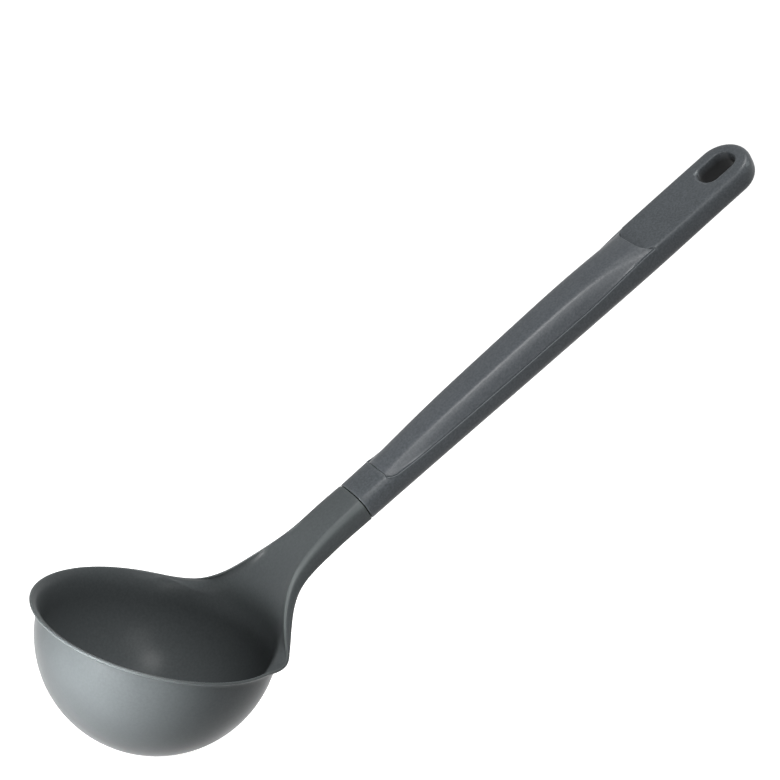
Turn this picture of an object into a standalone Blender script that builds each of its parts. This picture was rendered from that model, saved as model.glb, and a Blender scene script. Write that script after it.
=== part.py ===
"""Sauce ladle: a deep round bowl with a thin flared lip, whose back wall sweeps up into a
neck, a long inclined handle pushed over the neck's tang, and a soft grip inlay.

The frame has +Z up and the rim level. The origin is the middle of the small flat under the
bowl. The handle rises towards +X, and the ladle is symmetric about the XZ plane.
Sizes are in millimetres, and MM turns them into Blender's metres.
"""
import math

import bmesh
import bpy
import numpy as np
from mathutils import Vector

MM = 0.001
GAP = 0.3                  # clearance between two mouldings that touch

# Bowl
LIP_RADIUS = 40.0          # outermost edge of the flared lip
LIP_OVERHANG = 1.9         # how much further the lip reaches opposite the handle
BOWL_RADIUS = 38.4         # outside of the round wall
WALL = 2.0
RIM_RISE = 3.5             # lip's top above the centre of the sphere
LIP_THICKNESS = 1.0
FOOT_RADIUS = 4.5          # flat under the bowl
BOWL_CENTRE = math.sqrt(BOWL_RADIUS ** 2 - FOOT_RADIUS ** 2)
INNER_RADIUS = BOWL_RADIUS - WALL

# Neck and handle axis
HANDLE_RISE = math.radians(47.6)
NECK_REACH = 62.3          # seam's distance from the bowl's axis
NECK_LIFT = 46.0           # seam's height above the centre of the sphere
NECK_HALF_WIDTH = 7.5
NECK_HALF_HEIGHT = 5.9
NECK_ROUNDNESS = 2.7       # superellipse exponent of the neck's section
CORNER_SHARE = 0.773       # part of the half width where the top turns into the side
ROOT_ANGLE = 60            # degrees each side of +X where the lip starts to rise

# Edge between the stem's top and its side, after it leaves the lip: x, half width, height
# above the centre of the sphere
EDGE_LINE = (
    (24.9, 31.6, 3.4),
    (29.5, 28.2, 4.4),
    (31.7, 22.7, 7.9),
    (33.3, 17.3, 12.9),
    (35.9, 11.9, 19.9),
    (39.7, 8.5, 26.3),
    (45.1, 6.5, 33.2),
    (51.4, 5.9, 41.0),
)
# How far the stem has thickened from the lip to the neck, against its share of the length
THICKENING = ((0, 0), (0.25, 0.02), (0.4, 0.14), (0.5, 0.39), (0.6, 0.65), (0.7, 0.83),
              (0.8, 0.93), (0.9, 0.985), (1, 1))
FLARE_FADE = 0.35          # share of the stem over which the lip's flare fades out
FLARE_POWER = 4            # how closely the flare keeps to the stem's edges

# Tang inside the handle, in the handle's own axes
TANG_LENGTH = 66.0
TANG_HALF_WIDTH = 4.5
TANG_HALF_HEIGHT = 2.8
TANG_DROP = 1.2            # tang's axis below the handle's axis
TANG_TAPER = 0.82          # size at the tip over size at the shoulder
TANG_ROUNDNESS = 5.0
BARB_LENGTH = 7.0
BARB_START = TANG_LENGTH - 20.0
BARB_HEIGHT = 1.5
BARB_CREST = 1.2           # level top of the barb, behind its catching face
BARB_SUNK = 1.5            # how far the barb is rooted in the tang
BARB_HALF_WIDTH = 2.4
SOCKET_SPARE = 2.0         # socket's depth beyond the tang's tip

# Handle body: share of the way from the seam to the middle of the round end, half width,
# height above and below the axis, and roundness exponents of the upper and the lower half
HANDLE_SECTIONS = (
    (0.0, NECK_HALF_WIDTH, NECK_HALF_HEIGHT, NECK_HALF_HEIGHT, NECK_ROUNDNESS, NECK_ROUNDNESS),
    (0.15, 7.8, 6.1, 6.2, 2.6, 2.7),
    (0.42, 8.6, 6.6, 6.8, 2.5, 2.7),
    (0.635, 9.2, 6.6, 7.0, 2.8, 2.8),
    (0.775, 9.7, 5.8, 6.6, 3.5, 3.0),
    (0.88, 10.0, 5.5, 5.9, 3.5, 3.2),
    (1.0, 10.0, 5.4, 5.7, 3.5, 3.4),
)
HANDLE_LENGTH = 176.4
END_CENTRE = HANDLE_LENGTH - HANDLE_SECTIONS[-1][1]
PAD_LENGTH = 48.4          # flat end pad, from the inlay's end to the handle's end
PAD_HEIGHT = 4.35          # top of the end pad above the handle's axis
PAD_EASE = 1.0             # how far above and below the pad's level its edge is rounded
BACK_HEIGHT = 4.8          # flat back of the end pad below the handle's axis
BACK_START = HANDLE_LENGTH - 35.4
BACK_RUN_IN = 22.0         # length over which the rounded back runs into the flat one
BACK_RUN_IN_DROP = 2.4
EDGE_EASE = 0.35           # eased edge at the seam

# Hanging slot
SLOT_CENTRE = HANDLE_LENGTH - 12.2
SLOT_LENGTH = 14.2
SLOT_WIDTH = 9.0
SLOT_CORNER = 4.0
SLOT_CHAMFER = 0.5
CUT_OVER = 1.0             # how far cutters reach past a surface

# Grip inlay
INLAY_START = 11.5
INLAY_END = HANDLE_LENGTH - PAD_LENGTH
INLAY_DEPTH = 1.8
INLAY_SKIRT = 2.1          # lower edge of the inlay's sides above the handle's axis
INLAY_EDGE_RADIUS = 0.6
TONGUE_LENGTH = 4.5        # the inlay's lower end, where its sides sweep up
TONGUE_SWEEP = 1.4
SKIRT_FALL = 1.1           # how far the sides' edge still falls beyond the tongue
SKIRT_FALL_LENGTH = 14.0
# Inlay over the body's section: share of the inlay's length, rise at the sides, rise of the
# top, and distance from the middle to the ridge between the top and a flank
INLAY_SECTIONS = (
    (0.0, 0.2, 0.25, 4.0),
    (0.2, 0.15, 0.9, 4.4),
    (0.545, 0.15, 1.2, 4.5),
    (0.8, 0.1, 1.05, 5.1),
    (0.93, 0.05, 0.55, 6.0),
    (1.0, 0.0, 0.15, 6.6),
)
TOP_DROP = 0.3             # fall of the inlay's top from the middle to the ridge
RIDGE_ROUND = 0.4          # softness of the ridge
BEND = 3.8                 # how far the pad's lower edge bows towards the bowl
BEND_HALF_WIDTH = 8.6
BEND_RUN_IN = 20.0         # length of the inlay over which its sections take up the bend
PAD_OVERLAP = 7.0          # how far the flattened body runs on under the inlay's seat
SEAT_CLEARING = 3.0        # how far the seat's cutter reaches above the body's skin
FLAT_FLOOR = 0.93          # the inlay's tip is flat underneath above this share of its height
FLOOR_INSET = 0.25

# Mesh fineness
COLUMNS = 72
BOWL_ROWS = 10
STEM_ROWS = 14
SECTION_POINTS = 40
INLAY_POINTS = 22
SOCKET_POINTS = 32
SHARP_ANGLE = math.radians(24)
MERGE_DISTANCE = 0.01      # slivers narrower than this are closed after the cuts


def clear_scene():
    for item in list(bpy.data.objects):
        bpy.data.objects.remove(item, do_unlink=True)


def smooth_step(value):
    value = min(max(value, 0.0), 1.0)
    return value * value * (3 - 2 * value)


class Spline:
    """Natural cubic curve through points at rising parameter values."""

    def __init__(self, at, points):
        self.at = np.array(at, float)
        self.points = np.array(points, float)
        step = np.diff(self.at)
        count = len(self.at)
        system = np.eye(count)
        right = np.zeros_like(self.points)
        slope = np.diff(self.points, axis=0) / step[:, None]
        for i in range(1, count - 1):
            system[i, i - 1:i + 2] = step[i - 1], 2 * (step[i - 1] + step[i]), step[i]
            right[i] = 6 * (slope[i] - slope[i - 1])
        self.bend = np.linalg.solve(system, right)

    def __call__(self, value):
        i = int(np.clip(np.searchsorted(self.at, value) - 1, 0, len(self.at) - 2))
        step = self.at[i + 1] - self.at[i]
        a = (self.at[i + 1] - value) / step
        b = 1 - a
        bend = (a ** 3 - a) * self.bend[i] + (b ** 3 - b) * self.bend[i + 1]
        return a * self.points[i] + b * self.points[i + 1] + bend * step ** 2 / 6


def in_handle_axes(along, across, up):
    """Row position, from the centre of the sphere, of a point given in the handle's axes."""
    return np.array((
        NECK_REACH + along * math.cos(HANDLE_RISE) - up * math.sin(HANDLE_RISE),
        across,
        NECK_LIFT + along * math.sin(HANDLE_RISE) + up * math.cos(HANDLE_RISE),
    ))


def power(value, exponent):
    return math.copysign(abs(value) ** exponent, value)


# Stem surface

CORNER_RISE = (1 - CORNER_SHARE ** NECK_ROUNDNESS) ** (1 / NECK_ROUNDNESS)
NECK_CORNER_WIDTH = CORNER_SHARE * NECK_HALF_WIDTH
NECK_CORNER_HEIGHT = CORNER_RISE * NECK_HALF_HEIGHT
LIP_LAND = LIP_RADIUS - LIP_THICKNESS / 2
CENTRE_LIFT = 20.0         # how far the back wall runs straight up behind the bowl
CENTRE_RUN = 22.0          # how far the top line runs straight down from the neck
CENTRE_START = 0.035
CENTRE_PACE = 1.22


def on_circle(radius, degrees, height, lip_share=1.0):
    """Point on the turned wall or, for a full lip share, on the lip with its overhang."""
    angle = math.radians(degrees)
    overhang = LIP_OVERHANG * lip_share * (1 - math.cos(angle)) / 2
    return radius * math.cos(angle) - overhang, radius * math.sin(angle), height


def edge_spline():
    """Line along the lip and up the stem's edge, with 0 at the root and 1 at the seam."""
    before = [on_circle(LIP_LAND, ROOT_ANGLE + turn, RIM_RISE) for turn in (16, 8, 0)]
    end = tuple(in_handle_axes(0, NECK_CORNER_WIDTH, NECK_CORNER_HEIGHT))
    points = np.array(before + list(EDGE_LINE) + [end])
    length = np.concatenate(([0], np.cumsum(np.linalg.norm(np.diff(points, axis=0), axis=1))))
    root = length[len(before) - 1]
    return Spline((length - root) / (length[-1] - root), points)


EDGE = edge_spline()
GROWTH = Spline([row[0] for row in THICKENING], [row[1:] for row in THICKENING])


def centre_line(share):
    """Top line of the stem in the XZ plane and the elevation of its normal."""
    t = CENTRE_START + (1 - CENTRE_START) * share ** CENTRE_PACE
    start = np.array((INNER_RADIUS, 1.6))
    end = in_handle_axes(0, 0, NECK_HALF_HEIGHT)[[0, 2]]
    ahead = np.array((math.cos(HANDLE_RISE), math.sin(HANDLE_RISE)))
    second = start + (0, CENTRE_LIFT)
    third = end - CENTRE_RUN * ahead
    point = ((1 - t) ** 3 * start + 3 * t * (1 - t) ** 2 * second
             + 3 * t * t * (1 - t) * third + t ** 3 * end)
    travel = ((1 - t) ** 2 * (second - start) + 2 * t * (1 - t) * (third - second)
              + t * t * (end - third))
    return point, math.atan2(travel[0], travel[1])


def cross_shape(side, share):
    """How far a point at -1..1 across the stem has moved sideways and towards the middle."""
    angle = math.radians(ROOT_ANGLE)
    arc_side = math.sin(angle * side) / math.sin(angle)
    arc_middle = (math.cos(angle * side) - math.cos(angle)) / (1 - math.cos(angle))
    crown = (1 - (CORNER_SHARE * abs(side)) ** NECK_ROUNDNESS) ** (1 / NECK_ROUNDNESS)
    flat_middle = (crown - CORNER_RISE) / (1 - CORNER_RISE)
    blend = smooth_step(share / 0.8)
    return (arc_side + (side - arc_side) * blend,
            arc_middle + (flat_middle - arc_middle) * blend)


def cross_point(side, share, edge, middle, flare):
    """Point across the stem, from a hollow middle out to an edge that curls outwards."""
    across, inward = cross_shape(side, share)
    azimuth = math.atan2(edge[1], edge[0])
    root = edge - flare * np.array((math.cos(azimuth), math.sin(azimuth), 0))
    curl = flare * abs(side) ** FLARE_POWER
    return np.array((
        root[0] + (middle[0] - root[0]) * inward + curl * math.cos(azimuth * side),
        root[1] * across + curl * math.sin(azimuth * side),
        root[2] + (middle[1] - root[2]) * inward,
    ))


def stem_point(side, layer, share):
    """Point of the stem's skin. Layer 0 is the top, 1 is underneath, and what lies between
    is on the rounded side. Share runs from the root to the seam."""
    edge = EDGE(share)
    middle, elevation = centre_line(share)
    growth = float(GROWTH(share)[0])
    fade = 1 - smooth_step(share / FLARE_FADE)
    thickness = WALL + (2 * NECK_HALF_HEIGHT - WALL) * growth
    edge_thickness = LIP_THICKNESS + (2 * NECK_CORNER_HEIGHT - LIP_THICKNESS) * growth
    upright = 1 - smooth_step(share / 0.3)
    edge_elevation = elevation + (math.pi / 2 - elevation) * upright
    azimuth = math.atan2(edge[1], edge[0]) * (1 - share)
    normal = np.array((
        -math.cos(edge_elevation) * math.cos(azimuth),
        -math.cos(edge_elevation) * math.sin(azimuth),
        math.sin(edge_elevation),
    ))
    low_edge = edge - normal * edge_thickness
    low_middle = middle - thickness * np.array((-math.cos(elevation), math.sin(elevation)))
    if layer == 0:
        return cross_point(side, share, edge, middle, fade * (LIP_LAND - INNER_RADIUS))
    if layer == 1:
        return cross_point(side, share, low_edge, low_middle, fade * (LIP_LAND - BOWL_RADIUS))
    travel = EDGE(share + 0.01) - EDGE(share - 0.01)
    outward = np.cross(normal, travel)
    outward /= np.linalg.norm(outward)
    bulge = LIP_THICKNESS / 2 + (NECK_HALF_WIDTH - NECK_CORNER_WIDTH - LIP_THICKNESS / 2) * growth
    swell = (1 - abs(2 * layer - 1) ** NECK_ROUNDNESS) ** (1 / NECK_ROUNDNESS)
    point = edge + (low_edge - edge) * layer + outward * bulge * swell
    point[1] = math.copysign(point[1], side)
    return point


# Bowl and head

def bowl_profile():
    """Half section from the inner floor over the lip to the foot: radius, height above the
    centre of the sphere, which part of the section the point belongs to, and its share of
    the lip's overhang."""
    rows = []
    for i in range(BOWL_ROWS + 1):
        angle = math.radians(-90 + 90 * i / BOWL_ROWS)
        rows.append((INNER_RADIUS * math.cos(angle), INNER_RADIUS * math.sin(angle), "inner", 0))
    flare = LIP_RADIUS - INNER_RADIUS
    for out, up in ((0, 0.34), (0.1, 0.66), (0.36, 0.87), (0.64, 0.985)):
        rows.append((INNER_RADIUS + flare * out, RIM_RISE * up, "inner rise", out))
    rows.append((LIP_LAND, RIM_RISE, "lip top", 1))
    for share in (0.25, 0.5, 0.75):
        swell = LIP_THICKNESS / 2 * math.sin(math.pi * share)
        rows.append((LIP_LAND + swell, RIM_RISE - LIP_THICKNESS * share, share, 1))
    rows.append((LIP_LAND, RIM_RISE - LIP_THICKNESS, "lip bottom", 1))
    for out, up in ((0.5, 0.6), (0.15, 0.4), (0, 0.17)):
        rows.append((BOWL_RADIUS + (LIP_LAND - BOWL_RADIUS) * out, RIM_RISE * up,
                     "outer rise", out))
    foot_angle = math.acos(FOOT_RADIUS / BOWL_RADIUS)
    for i in range(BOWL_ROWS + 1):
        angle = -foot_angle * i / BOWL_ROWS
        rows.append((BOWL_RADIUS * math.cos(angle), BOWL_RADIUS * math.sin(angle), "outer", 0))
    return rows


def root_point(side, radius, height, part, lip_share):
    """Where a point near the lip moves in the sector that becomes the stem."""
    edge = np.array(on_circle(radius, ROOT_ANGLE, height, lip_share))
    middle, _ = centre_line(0)
    wall = INNER_RADIUS if part == "inner rise" else BOWL_RADIUS
    middle = wall, height * middle[1] / RIM_RISE
    return cross_point(side, 0, edge, middle, radius - wall)


def spin_bowl(bm, rows):
    """Turned bowl, with each vertex's profile row kept in a layer."""
    row_layer = bm.verts.layers.int.new("row")
    profile = []
    for number, (radius, height, _, _) in enumerate(rows):
        vertex = bm.verts.new((radius, 0, height))
        vertex[row_layer] = number
        profile.append(vertex)
    edges = [bm.edges.new(pair) for pair in zip(profile, profile[1:])]
    bmesh.ops.spin(bm, geom=profile + edges, cent=(0, 0, 0), axis=(0, 0, 1), dvec=(0, 0, 0),
                   angle=2 * math.pi, steps=COLUMNS, use_merge=True)
    bmesh.ops.remove_doubles(bm, verts=bm.verts, dist=0.01)
    return row_layer


def side_of(vertex):
    """-1..1 across the sector that becomes the stem, and beyond it outside that sector."""
    return math.degrees(math.atan2(vertex.co.y, vertex.co.x)) / ROOT_ANGLE


def open_stem_root(bm, rows, row_layer):
    """Raises the lip in the stem's sector and opens its edge. Returns the open ring's edges
    and layers that say where each of its points lies on the stem."""
    side_layer = bm.verts.layers.float.new("side")
    depth_layer = bm.verts.layers.float.new("depth")
    lip = [n for n, row in enumerate(rows) if row[2] == "lip top" or row[2] == "lip bottom"]
    cut = []
    for face in bm.faces:
        in_lip = all(lip[0] <= v[row_layer] <= lip[1] for v in face.verts)
        if in_lip and abs(math.degrees(math.atan2(*face.calc_center_median().yx))) < ROOT_ANGLE:
            cut.append(face)
    bmesh.ops.delete(bm, geom=cut, context="FACES")
    for vertex in bm.verts:
        side = side_of(vertex)
        radius, height, part, lip_share = rows[vertex[row_layer]]
        vertex[side_layer] = side
        if abs(side) > 1.001:
            vertex.co = on_circle(radius, side * ROOT_ANGLE, height, lip_share)
        elif part in ("inner rise", "outer rise"):
            vertex.co = root_point(side, radius, height, part, lip_share)
        elif part == "lip top":
            vertex.co = stem_point(side, 0, 0)
        elif part == "lip bottom":
            vertex.co = stem_point(side, 1, 0)
            vertex[depth_layer] = 1
        elif isinstance(part, float):
            vertex.co = stem_point(side, part, 0)
            vertex[depth_layer] = part
    ring = [e for e in bm.edges if e.is_boundary and all(v.co.z > 0 for v in e.verts)]
    return ring, side_layer, depth_layer


def extrude_ring(bm, ring, place):
    """Extrudes a ring of edges and puts each new vertex where place says."""
    made = bmesh.ops.extrude_edge_only(bm, edges=ring)["geom"]
    for vertex in (g for g in made if isinstance(g, bmesh.types.BMVert)):
        vertex.co = place(vertex)
    return [g for g in made if isinstance(g, bmesh.types.BMEdge)]


def section_angle(point):
    """Angle round the neck's section of a point of the last ring."""
    offset = np.array(point) - in_handle_axes(0, 0, 0)
    up = -offset[0] * math.sin(HANDLE_RISE) + offset[2] * math.cos(HANDLE_RISE)
    return math.atan2(up / NECK_HALF_HEIGHT, offset[1] / NECK_HALF_WIDTH)


def tang_section(angle, grow=0.0, taper=1.0):
    """Across and up position on the tang's rounded rectangle."""
    across = (TANG_HALF_WIDTH * taper + grow) * power(math.cos(angle), 2 / TANG_ROUNDNESS)
    up = (TANG_HALF_HEIGHT * taper + grow) * power(math.sin(angle), 2 / TANG_ROUNDNESS)
    return across, up - TANG_DROP


def tang_taper(along):
    return 1 - (1 - TANG_TAPER) * along / TANG_LENGTH


def grow_stem(bm, ring, side_layer, depth_layer):
    """Extrudes the open root up to the seam, steps in to the tang and closes its tip."""
    for i in range(1, STEM_ROWS + 1):
        share = i / STEM_ROWS
        ring = extrude_ring(
            bm, ring, lambda v: stem_point(v[side_layer], v[depth_layer], share))
    middle = in_handle_axes(0, 0, 0)
    back = in_handle_axes(-GAP / 2, 0, 0) - middle
    inner = 1 - EDGE_EASE / NECK_HALF_HEIGHT
    for vertex in {v for e in ring for v in e.verts}:
        vertex.co = Vector(np.array(vertex.co) + back * (2 * EDGE_EASE / GAP))
    ring = extrude_ring(
        bm, ring, lambda v: middle + back + (np.array(v.co) - middle) * inner)
    ring = extrude_ring(
        bm, ring, lambda v: in_handle_axes(-GAP / 2, *tang_section(section_angle(v.co))))
    for along in (TANG_LENGTH - 1.0, TANG_LENGTH):
        shrink = tang_taper(along) * (0.85 if along == TANG_LENGTH else 1)
        ring = extrude_ring(
            bm, ring,
            lambda v: in_handle_axes(along, *tang_section(tang_angle(v.co), taper=shrink)))
    bmesh.ops.contextual_create(bm, geom=ring)


def tang_angle(point):
    """Angle round the tang's section of a point of its shoulder ring."""
    offset = np.array(point) - in_handle_axes(0, 0, -TANG_DROP)
    up = -offset[0] * math.sin(HANDLE_RISE) + offset[2] * math.cos(HANDLE_RISE)
    across = power(offset[1] / TANG_HALF_WIDTH, TANG_ROUNDNESS / 2)
    return math.atan2(power(up / TANG_HALF_HEIGHT, TANG_ROUNDNESS / 2), across)


def close_foot(bm, rows, row_layer):
    last = len(rows) - 1
    edges = [e for e in bm.edges if all(v[row_layer] == last for v in e.verts) and e.is_boundary]
    bmesh.ops.contextual_create(bm, geom=edges)


def mesh_object(name, bm, material=None):
    """Object from a bmesh drawn in millimetres."""
    bmesh.ops.recalc_face_normals(bm, faces=bm.faces)
    bmesh.ops.scale(bm, vec=(MM, MM, MM), verts=bm.verts)
    mesh = bpy.data.meshes.new(name)
    bm.to_mesh(mesh)
    bm.free()
    if material:
        mesh.materials.append(material)
    item = bpy.data.objects.new(name, mesh)
    bpy.context.collection.objects.link(item)
    return item


def finish(item, operation=None, tools=()):
    """Joins or cuts with the tools, then shades smooth between sharp edges."""
    for tool in tools:
        modifier = item.modifiers.new(tool.name, "BOOLEAN")
        modifier.operation = operation
        modifier.object = tool
        modifier.solver = "EXACT"
    shaped = item.evaluated_get(bpy.context.evaluated_depsgraph_get())
    bm = bmesh.new()
    bm.from_mesh(bpy.data.meshes.new_from_object(shaped))
    bmesh.ops.remove_doubles(bm, verts=bm.verts, dist=MERGE_DISTANCE * MM)
    bmesh.ops.dissolve_degenerate(bm, edges=bm.edges, dist=MERGE_DISTANCE * MM)
    item.modifiers.clear()
    mesh = item.data
    bm.to_mesh(mesh)
    bm.free()
    mesh.shade_smooth()
    mesh.set_sharp_from_angle(angle=SHARP_ANGLE)
    for tool in tools:
        bpy.data.objects.remove(tool, do_unlink=True)


def barb_tool():
    """Wedge on top of the tang that springs up behind the handle's window."""
    bm = bmesh.new()
    top = TANG_HALF_HEIGHT * tang_taper(BARB_START) - TANG_DROP
    outline = ((0, -BARB_SUNK), (0, BARB_HEIGHT), (BARB_CREST, BARB_HEIGHT),
               (BARB_LENGTH, -GAP), (BARB_LENGTH, -BARB_SUNK))
    corners = [bm.verts.new((BARB_START + x, -BARB_HALF_WIDTH, top + z)) for x, z in outline]
    side = bm.faces.new(corners)
    made = bmesh.ops.extrude_face_region(bm, geom=[side])["geom"]
    moved = [g for g in made if isinstance(g, bmesh.types.BMVert)]
    bmesh.ops.translate(bm, vec=(0, 2 * BARB_HALF_WIDTH, 0), verts=moved)
    return mesh_object("barb_tool", bm)


def make_head(material, handle_axis):
    """Bowl, lip, stem and tang in one moulding."""
    bm = bmesh.new()
    rows = bowl_profile()
    row_layer = spin_bowl(bm, rows)
    ring, side_layer, depth_layer = open_stem_root(bm, rows, row_layer)
    grow_stem(bm, ring, side_layer, depth_layer)
    close_foot(bm, rows, row_layer)
    bmesh.ops.translate(bm, vec=(0, 0, BOWL_CENTRE), verts=bm.verts)
    head = mesh_object("ladle_head", bm, material)
    barb = barb_tool()
    barb.parent = handle_axis
    finish(head, "UNION", [barb])


# Handle body

SECTIONS = Spline([s[0] * END_CENTRE for s in HANDLE_SECTIONS],
                  [s[1:] for s in HANDLE_SECTIONS])


def spread(first, last, count):
    """Evenly spaced values, both ends included."""
    return [first + (last - first) * i / (count - 1) for i in range(count)]


def section_point(along, angle, grow=0.0):
    """Point of the handle's outer skin, moved outwards by grow."""
    half_width, above, below, top_power, low_power = SECTIONS(along)
    upper = math.sin(angle) >= 0
    exponent = 2 / (top_power if upper else low_power)
    height = above if upper else below
    across = (half_width + grow) * power(math.cos(angle), exponent)
    up = (height + grow) * power(math.sin(angle), exponent)
    run_in = max(0.0, (BACK_START - along) / BACK_RUN_IN)
    return along, across, max(up, -BACK_HEIGHT - BACK_RUN_IN_DROP * run_in ** 1.5)


def body_point(along, angle, grow=0.0):
    """Point of the body's skin, which is flattened to the end pad."""
    _, across, up = section_point(along, angle, grow)
    over = up - PAD_HEIGHT
    if along < INLAY_END - PAD_OVERLAP or over < -PAD_EASE:
        return along, across, up
    return along, across, PAD_HEIGHT - max(0.0, PAD_EASE - over) ** 2 / (4 * PAD_EASE)


def loft(sections, strip=False):
    """Solid through sections with equal point counts: a base face, or a strip of faces for
    a crescent, extruded from one section to the next. Returns the mesh and its last cap."""
    bm = bmesh.new()
    point = bm.verts.layers.int.new("point")
    base = [bm.verts.new(place) for place in sections[0]]
    for number, vertex in enumerate(base):
        vertex[point] = number
    if strip:
        cap = [bm.faces.new((base[i], base[i + 1], base[-2 - i], base[-1 - i]))
               for i in range(len(base) // 2 - 1)]
    else:
        cap = [bm.faces.new(base)]
    for section in sections[1:]:
        rim = list({e for face in cap for e in face.edges})
        made = bmesh.ops.extrude_face_region(bm, geom=cap + rim)["geom"]
        for vertex in (g for g in made if isinstance(g, bmesh.types.BMVert)):
            vertex.co = section[vertex[point]]
        cap = [g for g in made if isinstance(g, bmesh.types.BMFace)]
    return bm, cap


def handle_loft():
    """Outer skin from the seam to the middle of the round end, which is turned."""
    angles = [2 * math.pi * i / SECTION_POINTS for i in range(SECTION_POINTS)]
    pad_start = INLAY_END - PAD_OVERLAP
    stations = [GAP / 2 + EDGE_EASE, *spread(INLAY_START / 2, pad_start - 3, 12),
                *spread(pad_start, BACK_START, 4), *spread(BACK_START, END_CENTRE, 5)[1:]]
    sections = [[section_point(GAP / 2, a, -EDGE_EASE) for a in angles]]
    sections += [[body_point(along, a) for a in angles] for along in stations]
    bm, cap = loft(sections)
    last = list(cap[0].verts)
    bmesh.ops.delete(bm, geom=cap, context="FACES_ONLY")
    half = [v for v in last if v.co.y > -0.001]
    arc = [e for e in bm.edges if e.is_boundary and all(v in half for v in e.verts)]
    bmesh.ops.spin(bm, geom=half + arc, cent=(END_CENTRE, 0, 0), axis=(0, 0, 1),
                   dvec=(0, 0, 0), angle=-math.pi, steps=14)
    bmesh.ops.remove_doubles(bm, verts=bm.verts, dist=0.005)
    return bm


def slot_ring(height, grow):
    """Rounded rectangle of the hanging slot at one height."""
    points = []
    corner = SLOT_CORNER + grow
    half_length = SLOT_LENGTH / 2 + grow - corner
    half_width = SLOT_WIDTH / 2 + grow - corner
    for turn, (sx, sy) in enumerate(((1, 1), (-1, 1), (-1, -1), (1, -1))):
        for i in range(7):
            angle = math.pi / 2 * (turn + i / 6)
            points.append((SLOT_CENTRE + sx * half_length + corner * math.cos(angle),
                           sy * half_width + corner * math.sin(angle), height))
    return points


def slot_cutter():
    bm, _ = loft([slot_ring(height, grow) for height, grow in (
        (-BACK_HEIGHT - CUT_OVER, SLOT_CHAMFER + CUT_OVER),
        (-BACK_HEIGHT + SLOT_CHAMFER, 0),
        (PAD_HEIGHT - SLOT_CHAMFER, 0),
        (PAD_HEIGHT + CUT_OVER, SLOT_CHAMFER + CUT_OVER))])
    return mesh_object("slot_cutter", bm)


def socket_cutter():
    """Blind socket for the tang, with the clearance all round."""
    angles = [2 * math.pi * i / SOCKET_POINTS for i in range(SOCKET_POINTS)]
    bm, _ = loft([[(along, *tang_section(a, GAP, tang_taper(max(along, 0)))) for a in angles]
                  for along in (-CUT_OVER, TANG_LENGTH, TANG_LENGTH + SOCKET_SPARE)])
    return mesh_object("socket_cutter", bm)


def window_cutter():
    """Window from the socket to the inlay's seat, where the barb springs up."""
    bm = bmesh.new()
    bmesh.ops.create_cube(bm, size=1)
    length = BARB_LENGTH + 3 * GAP
    low = -TANG_DROP
    high = NECK_HALF_HEIGHT + CUT_OVER
    bmesh.ops.scale(bm, vec=(length, 2 * (BARB_HALF_WIDTH + GAP), high - low), verts=bm.verts)
    middle = BARB_START - GAP + length / 2
    bmesh.ops.translate(bm, vec=(middle, 0, (high + low) / 2), verts=bm.verts)
    return mesh_object("window_cutter", bm)


def make_handle_body(material, handle_axis):
    body = mesh_object("handle_body", handle_loft(), material)
    tools = [slot_cutter(), socket_cutter(), seat_cutter(), window_cutter()]
    for item in [body] + tools:
        item.parent = handle_axis
    finish(body, "DIFFERENCE", tools)


# Grip inlay

def skirt_height(along):
    """Lower edge of the inlay's side, which sweeps up round the tongue at its lower end."""
    beyond = along - INLAY_START - TONGUE_LENGTH
    fall = SKIRT_FALL * math.exp(-max(beyond, 0) / SKIRT_FALL_LENGTH)
    return INLAY_SKIRT + fall + TONGUE_SWEEP * (max(-beyond, 0) / TONGUE_LENGTH) ** 2


INLAY_SHAPE = Spline([INLAY_START + (INLAY_END - INLAY_START) * s[0] for s in INLAY_SECTIONS],
                     [s[1:] for s in INLAY_SECTIONS])


def bow(across):
    """Shape of the line between inlay and pad, bowed towards the bowl in the middle."""
    return BEND * ((across / BEND_HALF_WIDTH) ** 4 - 1)


def skin_level(skin, height):
    """Angle at which a skin, given by half width, height and exponent, passes a height."""
    return math.asin(min(0.97, height / skin[1]) ** (skin[2] / 2))


def skin_arc(skin, height, count):
    """Points along a skin from a height on the right, over its top, to the left."""
    first = skin_level(skin, height)
    angles = spread(first, math.pi - first, count)
    return [(skin[0] * power(math.cos(a), 2 / skin[2]), skin[1] * power(math.sin(a), 2 / skin[2]))
            for a in angles]


def crescent(along, low, over, inner):
    """Section between the points over it, from right to left, and the skin under it."""
    count = len(over)
    if low > FLAT_FLOOR * inner[1]:
        edge = over[0][0] - FLOOR_INSET
        under = [(across, low) for across in spread(-edge, edge, count)]
    else:
        under = skin_arc(inner, low, count)[::-1]
    share = smooth_step(1 - (INLAY_END - along) / BEND_RUN_IN)
    return [(along + share * bow(across), across, up) for across, up in over + under]


def roof_height(across, edge, low, top, ridge):
    """Height of a nearly level top and a straight flank, which meet in a soft ridge."""
    crest = top - TOP_DROP * (across / ridge) ** 2
    flank = low + (top - TOP_DROP - low) * (edge - across) / (edge - ridge)
    soft = math.exp(-crest / RIDGE_ROUND) + math.exp(-flank / RIDGE_ROUND)
    return -RIDGE_ROUND * math.log(soft)


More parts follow.
